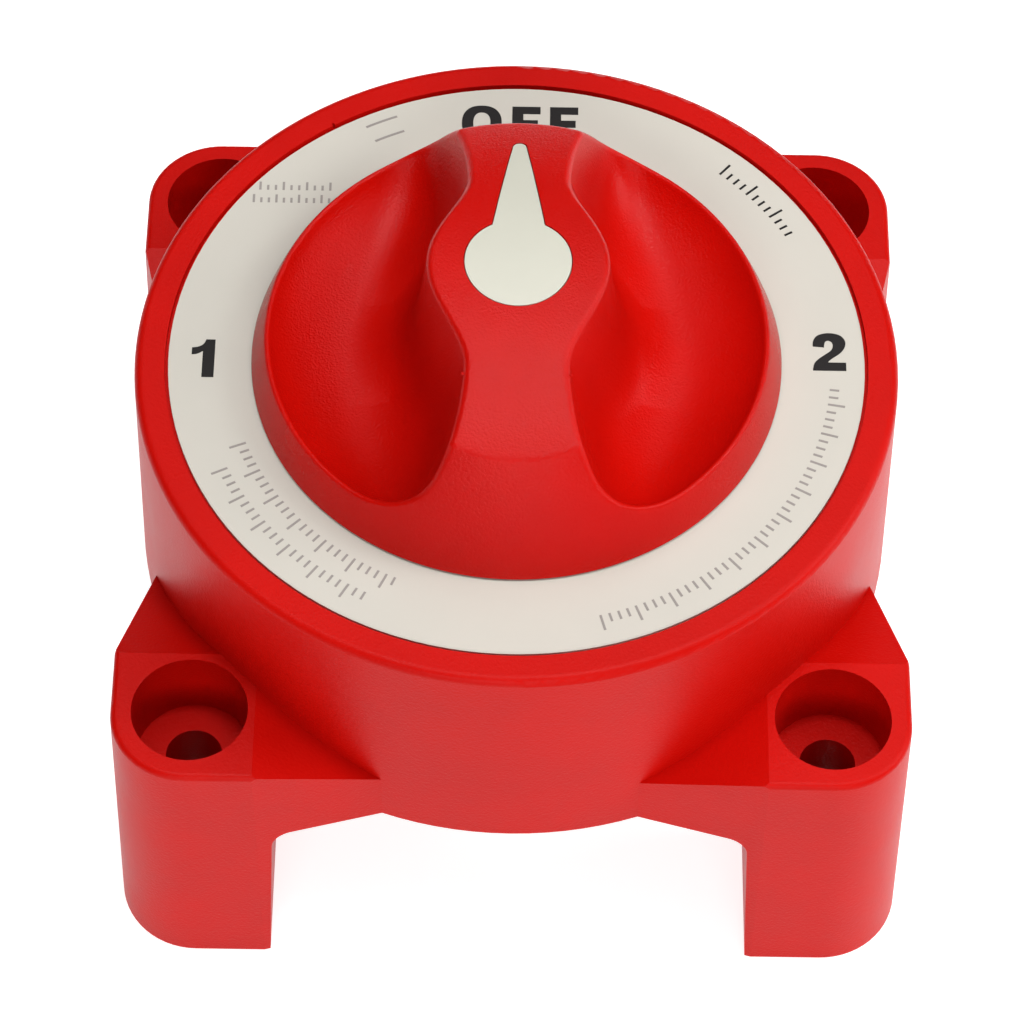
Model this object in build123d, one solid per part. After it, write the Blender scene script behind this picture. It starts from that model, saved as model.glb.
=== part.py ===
from build123d import *
import math
import os

# Battery selector switch with OFF, 1 and 2 positions. Millimetres.
# Z = 0 is the mounting surface, +Z points out of the dial, and the knob's axis is the Z axis.
# The pointer shows OFF, towards +Y. Position 1 is towards -X and position 2 is towards +X.

# ---- driving dimensions -------------------------------------------------------------------
HEIGHT = 76.2                  # mounting surface to the top of the grip
FOOTPRINT = 93.76              # side of the square of the four feet, at Z = 0
DRAFT = 1.49                   # taper of the feet's outer faces, degrees
FIT = 0.3                      # free gap between pieces that move past each other
RUNNING = 0.06                 # radial gap of a shaft in its bearing
SLIP = 0.05                    # gap of a close fit that doesn't run

EAR_TOP = 39.06                # flat top of the four ears
ARCH_TOP = 25.8                # top of the cable arches, and underside of the drum
ARCH_HALF = 28.58              # half width of an arch at Z = 0
ARCH_HALF_TOP = 27.5           # half width of an arch at its top
ARCH_RADIUS = 2.3
FOOT_RADIUS = 9.33             # outer vertical corner of a foot
FOOT_WALL = 3.0
SCREW_PITCH = 73.62            # mounting screw spacing, both ways
SCREW_HOLE_R = 3.27
COUNTERBORE_R = 6.7
COUNTERBORE_FLOOR = 28.95
SCREW_TUBE_R = 5.6
EAR_EDGE_FILLET = 0.7
FOOT_POCKET_ROOF = 2.5         # solid left above the hollow in a foot
FOOT_POCKET_RADIUS = 4.0

GUSSET_START = 29.3            # where an ear's side face turns in towards the drum
GUSSET_END = 14.0              # where it has run into the drum
GUSSET_TURN = 0.261            # how fast it turns in, per millimetre along the side
GUSSET_DROP = 0.409            # fall of a gusset's top, per millimetre along the side
GUSSET_LOW = 5.0               # where the fall ends, inside the drum

DRUM_R_TOP = 44.1
DRUM_R_BOTTOM = 44.95
FACE = 57.8                    # flat rim around the label
RIM_FILLET = 1.0
LABEL_SEAT = 57.0
LABEL_SEAT_R = 40.6
LABEL_R = 40.2
LABEL_HOLE_R = 28.6
LABEL_THICK = 0.5
NOTCH_ANGLE = 123.3            # the small index notch in the wall round the label, from +X
NOTCH_WIDTH = 0.3
NOTCH_REACH = 0.35

WELL_R = 27.6                  # round well in the drum's face that the knob's bowl sits in
WELL_FLOOR = 54.2
DECK_UNDERSIDE = 51.2
CAVITY_R = 39.8                # mechanism space inside the drum
POCKET_R = 41.2                # seat of the contact carrier
POCKET_TOP = 31.6
BOSS_RADIUS = 3.9              # bosses that take the carrier screws
BOSS_PITCH_R = 35.6
BOSS_TOP = 38.45
BOSS_BELOW = 0.6               # how far they stand out below the pocket's ceiling
RIB_REACH = 2.0                # ribs that key the detent ring, off the cavity's wall
RIB_HALF = 1.5

KNOB_R = 30.6
KNOB_BOTTOM = 57.8
LIP_R = 29.05                  # outer edge of the dish's lip
LIP_TOP = 62.0
LIP_THICK = 1.15
END_R = 23.6                   # where the grip's end face meets its top
END_Z = 71.45
END_SLOPE = 0.66               # how the blank narrows above that
CROWN_R = 58.8                 # the grip's top is an arc along Y
BOWL_FLOOR = 57.2
BOWL_FLAT_R = 18.5
BOWL_BULGE = 1.6               # the wall's middle point, outward of halfway and above the floor
BOWL_RISE = 1.35
BOWL_UNDERSIDE = 55.0
BOWL_OUTER_R = 26.4
WAIST = 4.93                   # half width of the grip's top across the axis
WAIST_CURVE_R = 180.0          # each side of the grip is hollowed to this radius, in plan
GRIP_DRAFT = 15.0              # slope of the grip's sides from vertical, degrees
SIDE_SPACE = 45.0              # how far the space cut beside the grip reaches
GRIP_FOOT_R = 6.0              # round inside corner at the grip's foot
HEAD_R = 10.2                  # round head of the grip, over the axis
HEAD_DRAFT = 4.0
HEAD_NECK_R = 4.0              # round corner between the head and the grip's sides
CREST_FILLET = 0.7             # softened edges of the grip's top, and of the lip
LIP_FILLET = 0.45
LIP_EDGE_LENGTH = 20.0         # the lip's edges are longer than this

INSERT_R = 6.0                 # pointer insert: disc, then a taper to a rounded tip
INSERT_TAPER = (2.93, 5.25)
INSERT_TIP_Y = 19.4
INSERT_TIP_R = 0.75
INSERT_THICK = 1.2
INSERT_GAP = 0.12
INSERT_SINK = 0.05             # how far the insert lies below the grip's top

SCREW_HEAD_R = 4.5             # the knob's own screw, under the insert
SCREW_HEAD_Z = (69.3, 72.2)
SCREW_HEAD_DOME = 1.2
SCREW_R = 2.5
SCREW_END = 52.5
CROSS_WIDTH = 1.2              # the cross recess in its head
CROSS_LENGTH = 5.2
CROSS_FLOOR = 70.6
SCREW_WASHER_R = (2.8, 5.0)
SCREW_WASHER_THICK = 0.7
HEAD_POCKET_R = 5.2            # the hollow in the grip around the head and the washer
SCREW_BORE_R = 2.7

SHAFT_R = 8.94
BEARING_R = SHAFT_R + RUNNING
DRIVE_R = 6.0                  # double-D drive stub and its flats
DRIVE_FLAT = 4.4
DRIVE_TOP = 66.0
HUB_R = 12.0
ROTOR_R = 29.5
ROTOR_BOTTOM = 34.2
ROTOR_TOP = 48.0
HUB_TOP = 50.5
THRUST_GAP = 0.15              # radial gap of the thrust washer on the shaft
SEAL_Z = 52.7
SEAL_WIRE_R = 0.7
SEAL_GROOVE_HALF = 0.9
PILOT_R = 2.55                 # hole in the drive stub that takes the knob's screw
PILOT_END = 52.0
BRIDGE_SLOT_TOP = 38.0         # ceiling of the rotor's slot for the moving contact
SPRING_BORE_GAP = 0.9

DETENT_Z = 42.0                # level of the detent plungers
DETENT_RING_R = (33.0, 39.6)
DETENT_RING_Z = (38.5, 45.5)
NOTCH_DEPTH = 1.2
NOTCH_R = 3.4
PLUNGER_R = 3.0
PLUNGER_LENGTH = 9.0
PLUNGER_TIP = 32.7
PLUNGER_BORE_END = 18.0
PLUNGER_SPRING = (2.2, 0.35, 4)              # radius, wire radius, turns
SPRING_PLAY = 0.1              # free length left at each end of a spring
STOP_Z = (45.5, 47.6)
LUG_R = 36.2
LUG_ROOT = 2.0                 # how far the lug reaches into the rotor
LUG_HALF_ANGLE = 8.0
STOP_GAP_ANGLE = 0.6
STOP_SPAN = 12.0
STOP_ROOT = 0.5                # how far the stops reach into the ring

CARRIER_R = 40.9
CARRIER_Z = (25.9, 31.0)
CONTACT_THICK = 3.0
CONTACT_TOP = 32.2
COMMON_R = (9.2, 15.2)
COMMON_STRAP_HALF = 5.0        # the strap from its ring to its stud, and how far it is set down
COMMON_STRAP_DROP = 0.8
LANDING_R = (20.5, 29.5)
LANDING_HALF_ANGLE = 17.0
STUD_PITCH_R = 25.0
STUD_R = 5.0
STUD_END = 4.0
STUD_COLLAR_R = 7.6
STUD_COLLAR_Z = 26.9
STUD_CHAMFER = 0.8
WASHER_R = 10.0
WASHER_HOLE_R = 5.3
WASHER_THICK = 2.0
LOCK_WASHER_R = 8.8
LOCK_WASHER_HOLE_R = 5.2
LOCK_WASHER_THICK = 2.4
LOCK_WASHER_SPLIT = 1.2
SPLIT_ANGLE = 20.0
NUT_FLATS = 16.0
NUT_THICK = 8.0
NUT_ROUND_OFF_R = 8.2          # the 45 degree cone that rounds off a nut's corners, at its face

BRIDGE_WIDTH = 12.0
BRIDGE_Z = (33.8, 36.6)
BRIDGE_Y = (8.4, 28.8)
BRIDGE_FEET = ((12.2, 2.8), (25.0, 3.2))     # (distance from the axis, radius)
BRIDGE_CORNER = 1.5
BRIDGE_FOOT_FILLET = 0.5
SPRING_CEILING = 43.5
SPRING_R = 2.7
SPRING_WIRE_R = 0.4
SPRING_TURNS = 6
SPRING_Y = (13.0, 23.5)

CARRIER_SCREW_R = 1.7
CARRIER_SCREW_HEAD_R = 3.2
CARRIER_SCREW_HEAD_THICK = 2.0
CARRIER_SCREW_SINK = 0.2       # how far the head lies inside the carrier's face
CARRIER_SCREW_LENGTH = 9.0     # under the head
CARRIER_CROSS_WIDTH = 0.9
CARRIER_CROSS_LENGTH = 3.8
CARRIER_CROSS_DEPTH = 1.2
HEAD_GAP = 0.2                 # gap round a screw's head, and round its shank
SHANK_GAP = 0.15
GASKET_THICK = 0.6
GASKET_GAP = 0.1

TOOL_PAST = 4.0                # how far a cutting shape runs past a face
REACH = 100.0                  # more than the part's size
LEVEL = 0.01                   # what counts as the same level

PARTS = "parts"


# ---- helpers ------------------------------------------------------------------------------
def disc(radius, low, high, x=0.0, y=0.0):
    """A cylinder between two levels."""
    return Pos(x, y, low) * Cylinder(
        radius, high - low, align=(Align.CENTER, Align.CENTER, Align.MIN)
    )


def tube(inner, outer, low, high):
    return disc(outer, low, high) - disc(inner, low - 1, high + 1)


def block(x, y, z):
    """A box from three (low, high) pairs."""
    size = [b - a for a, b in (x, y, z)]
    return Pos(*[(a + b) / 2 for a, b in (x, y, z)]) * Box(*size)


def sector(inner, outer, low, high, middle, half):
    """A slice of a ring, centred on an angle in degrees."""
    reach = 3 * outer
    edge = [
        (reach * math.cos(math.radians(a)), reach * math.sin(math.radians(a)))
        for a in (middle - half, middle + half)
    ]
    wedge = extrude(make_face(Polyline((0, 0), *edge, (0, 0))), high - low)
    return tube(inner, outer, low, high) & Pos(0, 0, low) * wedge


def turned(*edges):
    """A body turned about the Z axis from a closed outline in the X-Z plane."""
    return revolve(Plane.XZ * make_face(edges), Axis.Z)


def four_ways(shape):
    """The shape repeated at every quarter turn."""
    return [Rot(0, 0, 90 * n) * shape for n in range(4)]


def coil(radius, wire, length, turns):
    """An open helical spring standing on Z = 0."""
    pitch = (length - 2 * wire) / turns
    path = Pos(0, 0, wire) * Helix(pitch=pitch, height=length - 2 * wire, radius=radius)
    section = Plane(origin=path @ 0, z_dir=path % 0) * Circle(wire)
    return sweep(section, path)


def save(node, *shapes):
    """Write one node, as one solid or as a group of solids."""
    solids = [s for shape in shapes for s in shape.solids()]
    whole = solids[0] if len(solids) == 1 else Compound(children=solids)
    export_step(whole, os.path.join(PARTS, node + ".step"))


# ---- housing ------------------------------------------------------------------------------
def foot_block():
    """The square block that the four feet and ears are cut from, with its drafted sides."""
    inset = EAR_TOP * math.tan(math.radians(DRAFT))
    bottom = RectangleRounded(FOOTPRINT, FOOTPRINT, FOOT_RADIUS)
    side = FOOTPRINT - 2 * inset
    top = RectangleRounded(side, side, FOOT_RADIUS - inset / 2)
    body = loft([bottom, Pos(0, 0, EAR_TOP) * top])
    return fillet(body.edges().group_by(Axis.Z)[-1], EAR_EDGE_FILLET)


def side_space():
    """The space between two ears and outside their gussets, with the feet's draft."""
    far = FOOTPRINT / 2 + 1
    outlines = []
    for level in (-1, EAR_TOP + 1):
        edge = FOOTPRINT / 2 - level * math.tan(math.radians(DRAFT))
        inner = edge - (GUSSET_START - GUSSET_END) * GUSSET_TURN
        half = [(GUSSET_START, far), (GUSSET_START, edge), (GUSSET_END, inner)]
        other = [(-x, y) for x, y in reversed(half)]
        outlines.append(Pos(0, 0, level) * make_face(Polyline(*half, *other, half[0])))
    return loft(outlines, ruled=True)


def gusset_slope():
    """What is cut off above the falling top of one side's two gussets."""
    drop = (GUSSET_START - GUSSET_LOW) * GUSSET_DROP
    outline = Polyline(
        (GUSSET_START, EAR_TOP),
        (GUSSET_LOW, EAR_TOP - drop),
        (-GUSSET_LOW, EAR_TOP - drop),
        (-GUSSET_START, EAR_TOP),
        (-GUSSET_START, EAR_TOP + TOOL_PAST),
        (GUSSET_START, EAR_TOP + TOOL_PAST),
        (GUSSET_START, EAR_TOP),
    )
    prism = extrude(Plane.XZ * make_face(outline), -FOOTPRINT)
    return prism & block((-REACH, REACH), (GUSSET_START, REACH), (0, REACH))


def arch():
    """The tunnel between the feet, along Y."""
    slope = (ARCH_HALF - ARCH_HALF_TOP) / ARCH_TOP
    low = -1.0
    outline = Polyline(
        (-ARCH_HALF - slope, low),
        (-ARCH_HALF_TOP, ARCH_TOP),
        (ARCH_HALF_TOP, ARCH_TOP),
        (ARCH_HALF + slope, low),
        (-ARCH_HALF - slope, low),
    )
    tunnel = extrude(Plane.XZ * make_face(outline), FOOTPRINT, both=True)
    return fillet(tunnel.edges().filter_by(Axis.Y).group_by(Axis.Z)[-1], ARCH_RADIUS)


def foot_pocket():
    """The hollow of a foot around its screw tube, open below."""
    low = ARCH_HALF + FOOT_WALL
    high = FOOTPRINT / 2 - FOOT_WALL
    side = high - low
    at = (low + high) / 2
    plan = RectangleRounded(side, side, FOOT_POCKET_RADIUS)
    hollow = Pos(at, at, -1) * extrude(plan, ARCH_TOP - FOOT_POCKET_ROOF + 1)
    return hollow - disc(SCREW_TUBE_R, -2, ARCH_TOP, SCREW_PITCH / 2, SCREW_PITCH / 2)


def drum():
    height = FACE - ARCH_TOP
    body = Cone(
        DRUM_R_BOTTOM, DRUM_R_TOP, height, align=(Align.CENTER, Align.CENTER, Align.MIN)
    )
    body = Pos(0, 0, ARCH_TOP) * body
    return fillet(body.edges().filter_by(GeomType.CIRCLE).group_by(Axis.Z)[-1], RIM_FILLET)


def housing():
    screw = SCREW_PITCH / 2
    ears = foot_block()
    for tool in four_ways(side_space()) + four_ways(gusset_slope()):
        ears -= tool
    tunnel = arch()
    ears -= tunnel
    ears -= Rot(0, 0, 90) * tunnel
    body = drum() + ears
    body -= disc(LABEL_SEAT_R, LABEL_SEAT, FACE + 1)
    body -= disc(WELL_R, WELL_FLOOR, FACE)
    body -= disc(BEARING_R, DECK_UNDERSIDE - 1, FACE)
    body -= disc(CAVITY_R, POCKET_TOP - 1, DECK_UNDERSIDE)
    body -= disc(POCKET_R, 0, POCKET_TOP)
    bosses = disc(BOSS_RADIUS, POCKET_TOP - BOSS_BELOW, BOSS_TOP, BOSS_PITCH_R, 0)
    bosses += block(
        (BOSS_PITCH_R, CAVITY_R + 1), (-BOSS_RADIUS, BOSS_RADIUS), (POCKET_TOP, BOSS_TOP)
    )
    bosses -= disc(CARRIER_SCREW_R + SLIP, 0, BOSS_TOP - 1, BOSS_PITCH_R, 0)
    ribs = block(
        (CAVITY_R - RIB_REACH, CAVITY_R + 1),
        (-RIB_HALF, RIB_HALF),
        (DETENT_RING_Z[1], DECK_UNDERSIDE + 1),
    )
    for boss in four_ways(Rot(0, 0, 45) * bosses):
        body += boss
    for rib in four_ways(Rot(0, 0, 45) * ribs):
        body += rib
    for foot in four_ways(foot_pocket()):
        body -= foot
    for tool in four_ways(
        disc(COUNTERBORE_R, COUNTERBORE_FLOOR, EAR_TOP + 1, screw, screw)
        + disc(SCREW_HOLE_R, -1, EAR_TOP, screw, screw)
    ):
        body -= tool
    return body - index_notch()


def index_notch():
    """The small upright notch in the wall round the label."""
    half = NOTCH_WIDTH / 2
    across = (LABEL_R, LABEL_SEAT_R + NOTCH_REACH)
    return Rot(0, 0, NOTCH_ANGLE) * block(across, (-half, half), (LABEL_SEAT, FACE + 1))


def label():
    return tube(LABEL_HOLE_R, LABEL_R, LABEL_SEAT, LABEL_SEAT + LABEL_THICK)


# ---- knob ---------------------------------------------------------------------------------
def crown(depth=0.0):
    """Everything under the arched top of the grip, or under a surface set in from it."""
    radius = CROWN_R - depth
    return Pos(0, 0, HEIGHT - CROWN_R) * Rot(0, 90, 0) * Cylinder(radius, REACH)


def knob_blank():
    """The knob's outer shape with no finger recesses: a dome turned about the axis."""
    rise = HEIGHT + TOOL_PAST - END_Z
    face = ThreePointArc((KNOB_R, KNOB_BOTTOM), (LIP_R, LIP_TOP), (END_R, END_Z))
    outline = [
        face,
        Polyline(
            (END_R, END_Z),
            (END_R - rise * END_SLOPE, END_Z + rise),
            (0, END_Z + rise),
            (0, BOWL_UNDERSIDE),
            (BOWL_OUTER_R, BOWL_UNDERSIDE),
            (BOWL_OUTER_R, KNOB_BOTTOM),
            (KNOB_R, KNOB_BOTTOM),
        ),
    ]
    return turned(*outline) & crown()


def grip_side(floor, foot_radius):
    """The space beside the grip above a level, as a body turned about a far upright axis.
    Its inner face leans with the grip's draft and ends in a round inside corner."""
    lean = math.radians(GRIP_DRAFT)
    centre = WAIST + WAIST_CURVE_R
    top = HEIGHT + TOOL_PAST
    wall_top = WAIST_CURVE_R + (top - HEIGHT) * math.tan(lean)
    arc_z = floor + foot_radius
    tangent_z = arc_z - foot_radius * math.sin(lean)
    tangent_r = WAIST_CURVE_R - (HEIGHT - tangent_z) * math.tan(lean)
    arc_r = tangent_r - foot_radius * math.cos(lean)
    halfway = math.radians((90 - GRIP_DRAFT) / 2)
    middle = (arc_r + foot_radius * math.sin(halfway), arc_z - foot_radius * math.cos(halfway))
    inner = WAIST_CURVE_R - SIDE_SPACE
    wall = Polyline(
        (arc_r, floor), (inner, floor), (inner, top), (wall_top, top), (tangent_r, tangent_z)
    )
    foot = ThreePointArc((tangent_r, tangent_z), middle, (arc_r, floor))
    return Pos(centre, 0, 0) * turned(wall, foot)


def bowl():
    """The space in the dish: a flat floor that curves up to the lip."""
    lip_r = LIP_R - LIP_THICK
    above = HEIGHT + TOOL_PAST
    middle = ((BOWL_FLAT_R + lip_r) / 2 + BOWL_BULGE, BOWL_FLOOR + BOWL_RISE)
    sides = Polyline(
        (lip_r, LIP_TOP), (lip_r, above), (0, above), (0, BOWL_FLOOR), (BOWL_FLAT_R, BOWL_FLOOR)
    )
    return turned(sides, ThreePointArc((BOWL_FLAT_R, BOWL_FLOOR), middle, (lip_r, LIP_TOP)))


def grip_head():
    """The round head over the axis, with hollow corners where it meets the grip's sides."""
    strip = Rectangle(2 * WAIST, 3 * HEAD_R)
    plan = Circle(HEAD_R) + strip
    corners = [v for v in plan.vertices() if abs(v.Y) < HEAD_R]
    plan = fillet(corners, HEAD_NECK_R)
    depth = HEIGHT - BOWL_FLOOR
    body = extrude(Pos(0, 0, HEIGHT) * plan, depth, dir=(0, 0, -1), taper=-HEAD_DRAFT)
    return body & crown()


def insert_plan(gap=0.0):
    """The pointer's outline: a disc and a taper that ends in a rounded tip."""
    half, start = INSERT_TAPER
    tip_y = INSERT_TIP_Y - INSERT_TIP_R
    lean = math.atan2(half - INSERT_TIP_R, tip_y - start)
    tip = (INSERT_TIP_R * math.cos(lean), tip_y + INSERT_TIP_R * math.sin(lean))
    taper = make_face(
        [
            Polyline((-tip[0], tip[1]), (-half, start), (-half, 0), (half, 0), (half, start), tip),
            ThreePointArc(tip, (0, INSERT_TIP_Y), (-tip[0], tip[1])),
        ]
    )
    plan = Circle(INSERT_R) + taper
    return offset(plan, gap) if gap else plan


def insert_body(gap, bottom, top):
    """The pointer's outline between two surfaces set in from the grip's crown."""
    prism = Pos(0, 0, HEIGHT - 2 * TOOL_PAST) * extrude(insert_plan(gap), 3 * TOOL_PAST)
    return (prism & crown(top)) - crown(bottom)


def soften(body):
    """Round the edges of the grip's top and the edges of the dish's lip."""
    crest = [e for e in body.edges() if e.center().Z > END_Z - 1]
    body = fillet(crest, CREST_FILLET)
    lip = [
        e for e in body.edges()
        if abs(e.center().Z - LIP_TOP) < LEVEL
        and e.bounding_box().size.Z < LEVEL
        and e.length > LIP_EDGE_LENGTH
    ]
    return fillet(lip, LIP_FILLET)


def knob():
    body = knob_blank()
    for side in (0, 180):
        body -= Rot(0, 0, side) * grip_side(LIP_TOP, GRIP_FOOT_R)
        body -= Rot(0, 0, side) * (grip_side(BOWL_FLOOR, GRIP_FOOT_R) & bowl())
    body = soften(body + grip_head())
    body -= insert_body(INSERT_GAP, INSERT_THICK, -1)
    body -= disc(HEAD_POCKET_R, SCREW_HEAD_Z[0] - SCREW_WASHER_THICK, HEIGHT - INSERT_THICK)
    body -= disc(SCREW_BORE_R, DRIVE_TOP, SCREW_HEAD_Z[0])
    body -= drive_stub(SLIP, 0, DRIVE_TOP + FIT)
    return body


def drive_stub(gap, low, top):
    flat = DRIVE_FLAT + gap
    return disc(DRIVE_R + gap, low, top) & block((-REACH, REACH), (-flat, flat), (low, top))


def knob_screw():
    head = disc(SCREW_HEAD_R, *SCREW_HEAD_Z)
    head = fillet(head.edges().group_by(Axis.Z)[-1], SCREW_HEAD_DOME)
    recess = Pos(0, 0, CROSS_FLOOR) * extrude(cross(CROSS_LENGTH, CROSS_WIDTH), SCREW_HEAD_Z[1])
    return head + disc(SCREW_R, SCREW_END, SCREW_HEAD_Z[0]) - recess


def cross(length, width):
    return Rectangle(width, length) + Rectangle(length, width)


def knob_washer():
    top = SCREW_HEAD_Z[0]
    return tube(*SCREW_WASHER_R, top - SCREW_WASHER_THICK, top)


# ---- rotor and detents --------------------------------------------------------------------
def rotor():
    body = disc(ROTOR_R, ROTOR_BOTTOM, ROTOR_TOP) + disc(HUB_R, ROTOR_TOP, HUB_TOP)
    body += disc(SHAFT_R, HUB_TOP, BOWL_UNDERSIDE - FIT)
    body += drive_stub(0, BOWL_UNDERSIDE - FIT, DRIVE_TOP)
    lug_z = (STOP_Z[0] + FIT, STOP_Z[1])
    body += sector(ROTOR_R - LUG_ROOT, LUG_R, *lug_z, 90, LUG_HALF_ANGLE)
    body -= disc(PILOT_R, PILOT_END, DRIVE_TOP + 1)
    groove_z = (SEAL_Z - SEAL_GROOVE_HALF, SEAL_Z + SEAL_GROOVE_HALF)
    body -= tube(SHAFT_R - 2 * SEAL_WIRE_R, SHAFT_R + 1, *groove_z)
    slot = BRIDGE_WIDTH / 2 + FIT
    slot_y = (BRIDGE_Y[0] - FIT, ROTOR_R + 1)
    body -= block((-slot, slot), slot_y, (ROTOR_BOTTOM - 1, BRIDGE_SLOT_TOP))
    for y in SPRING_Y:
        body -= disc(SPRING_R + SPRING_BORE_GAP, ROTOR_BOTTOM, SPRING_CEILING, 0, y)
    for side in (0, 180):
        body -= Rot(0, 0, side) * along_x(PLUNGER_R + SLIP, PLUNGER_BORE_END, ROTOR_R + 1)
    return body


def along_x(radius, low, high):
    """A cylinder along X at the detents' level."""
    rod = Cylinder(radius, high - low, align=(Align.CENTER, Align.CENTER, Align.MIN))
    return Pos(low, 0, DETENT_Z) * Rot(0, 90, 0) * rod


def plunger():
    tail = PLUNGER_TIP - PLUNGER_LENGTH
    body = along_x(PLUNGER_R, tail, PLUNGER_TIP - PLUNGER_R)
    return body + Pos(PLUNGER_TIP - PLUNGER_R, 0, DETENT_Z) * Sphere(PLUNGER_R)


def plunger_spring():
    radius, wire, turns = PLUNGER_SPRING
    length = PLUNGER_TIP - PLUNGER_LENGTH - PLUNGER_BORE_END - 2 * SPRING_PLAY
    spring = coil(radius, wire, length, turns)
    return Pos(PLUNGER_BORE_END + SPRING_PLAY, 0, DETENT_Z) * Rot(0, 90, 0) * spring


def detent_ring():
    low, high = DETENT_RING_Z
    ring = tube(*DETENT_RING_R, low, high)
    notch = disc(
        NOTCH_R, low - 1, high + 1, DETENT_RING_R[0] + NOTCH_DEPTH - NOTCH_R, 0
    )
    for tool in four_ways(notch):
        ring -= tool
    start = LUG_HALF_ANGLE + STOP_GAP_ANGLE
    for middle in (-start - STOP_SPAN / 2, 180 + start + STOP_SPAN / 2):
        ring += sector(*DETENT_RING_R, high - STOP_ROOT, STOP_Z[1], middle, STOP_SPAN / 2)
    return ring


# ---- contacts and carrier -----------------------------------------------------------------
def contact_bridge():
    half = BRIDGE_WIDTH / 2
    bar = block((-half, half), BRIDGE_Y, BRIDGE_Z)
    bar = fillet(bar.edges().filter_by(Axis.Z), BRIDGE_CORNER)
    for y, radius in BRIDGE_FEET:
        foot = disc(radius, CONTACT_TOP + FIT, BRIDGE_Z[0], 0, y)
        bar += fillet(foot.edges().group_by(Axis.Z)[0], BRIDGE_FOOT_FILLET)
    return bar


def contact_springs():
    length = SPRING_CEILING - BRIDGE_Z[1] - 2 * SPRING_PLAY
    spring = coil(SPRING_R, SPRING_WIRE_R, length, SPRING_TURNS)
    return [Pos(0, y, BRIDGE_Z[1] + SPRING_PLAY) * spring for y in SPRING_Y]


def common_contact():
    low = CONTACT_TOP - CONTACT_THICK
    plate = disc(COMMON_R[1], low, CONTACT_TOP)
    strap_top = CONTACT_TOP - COMMON_STRAP_DROP
    strap_x = (-COMMON_STRAP_HALF, COMMON_STRAP_HALF)
    plate += disc(STUD_COLLAR_R, low, strap_top, 0, -STUD_PITCH_R)
    plate += block(strap_x, (-STUD_PITCH_R, -COMMON_R[0]), (low, strap_top))
    return plate - disc(COMMON_R[0], low - 1, CONTACT_TOP + 1)


def landing_contact(angle):
    low = CONTACT_TOP - CONTACT_THICK
    return sector(*LANDING_R, low, CONTACT_TOP, angle, LANDING_HALF_ANGLE)


def carrier_screw():
    face = CARRIER_Z[0] + CARRIER_SCREW_SINK
    seat = face + CARRIER_SCREW_HEAD_THICK
    head = disc(CARRIER_SCREW_HEAD_R, face, seat)
    shank = disc(CARRIER_SCREW_R, seat, seat + CARRIER_SCREW_LENGTH)
    plan = cross(CARRIER_CROSS_LENGTH, CARRIER_CROSS_WIDTH)
    recess = Pos(0, 0, face) * extrude(plan, CARRIER_CROSS_DEPTH)
    return Rot(0, 0, 45) * Pos(BOSS_PITCH_R, 0, 0) * (head + shank - recess)


def carrier_gasket():
    inner = CAVITY_R + GASKET_GAP
    return tube(inner, POCKET_R - GASKET_GAP, CARRIER_Z[1] - GASKET_THICK, POCKET_TOP)


def contact_carrier(contacts):
    body = disc(CARRIER_R, *CARRIER_Z)
    body -= tube(CAVITY_R, CARRIER_R + 1, CARRIER_Z[1] - GASKET_THICK, CARRIER_Z[1] + 1)
    for contact in contacts:
        body -= contact
    for x, y in stud_places():
        body -= disc(STUD_COLLAR_R, STUD_COLLAR_Z, CONTACT_TOP - CONTACT_THICK, x, y)
        body -= disc(STUD_R, 0, STUD_COLLAR_Z, x, y)
    seat = CARRIER_Z[0] + CARRIER_SCREW_SINK + CARRIER_SCREW_HEAD_THICK
    head = disc(CARRIER_SCREW_HEAD_R + HEAD_GAP, 0, seat, BOSS_PITCH_R, 0)
    hole = disc(CARRIER_SCREW_R + SHANK_GAP, 0, CARRIER_Z[1] + 1, BOSS_PITCH_R, 0)
    for tool in four_ways(Rot(0, 0, 45) * (head + hole)):
        body -= tool
    return body


# ---- terminals ----------------------------------------------------------------------------
def stud_places():
    """Terminals 1, 2 and common."""
    return [(-STUD_PITCH_R, 0), (STUD_PITCH_R, 0), (0, -STUD_PITCH_R)]


def stud():
    rod = disc(STUD_R, STUD_END, STUD_COLLAR_Z)
    rod = chamfer(rod.edges().group_by(Axis.Z)[0], STUD_CHAMFER)
    return rod + disc(STUD_COLLAR_R, STUD_COLLAR_Z, CONTACT_TOP - CONTACT_THICK)


def lock_washer(top):
    """A split spring washer, pressed flat."""
    ring = tube(LOCK_WASHER_HOLE_R, LOCK_WASHER_R, top - LOCK_WASHER_THICK, top)
    half = LOCK_WASHER_SPLIT / 2
    split = block((0, LOCK_WASHER_R + 1), (-half, half), (0, top + 1))
    return ring - Rot(0, 0, SPLIT_ANGLE) * split


def nut(top):
    body = Pos(0, 0, top - NUT_THICK) * extrude(
        RegularPolygon(NUT_FLATS / 2, 6, major_radius=False), NUT_THICK
    )
    reach = NUT_THICK + 1
    round_off = Pos(0, 0, top - NUT_THICK) * Cone(
        NUT_ROUND_OFF_R,
        NUT_ROUND_OFF_R + reach,
        reach,
        align=(Align.CENTER, Align.CENTER, Align.MIN),
    )
    return (body & round_off) - disc(STUD_R, 0, top + 1)


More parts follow.
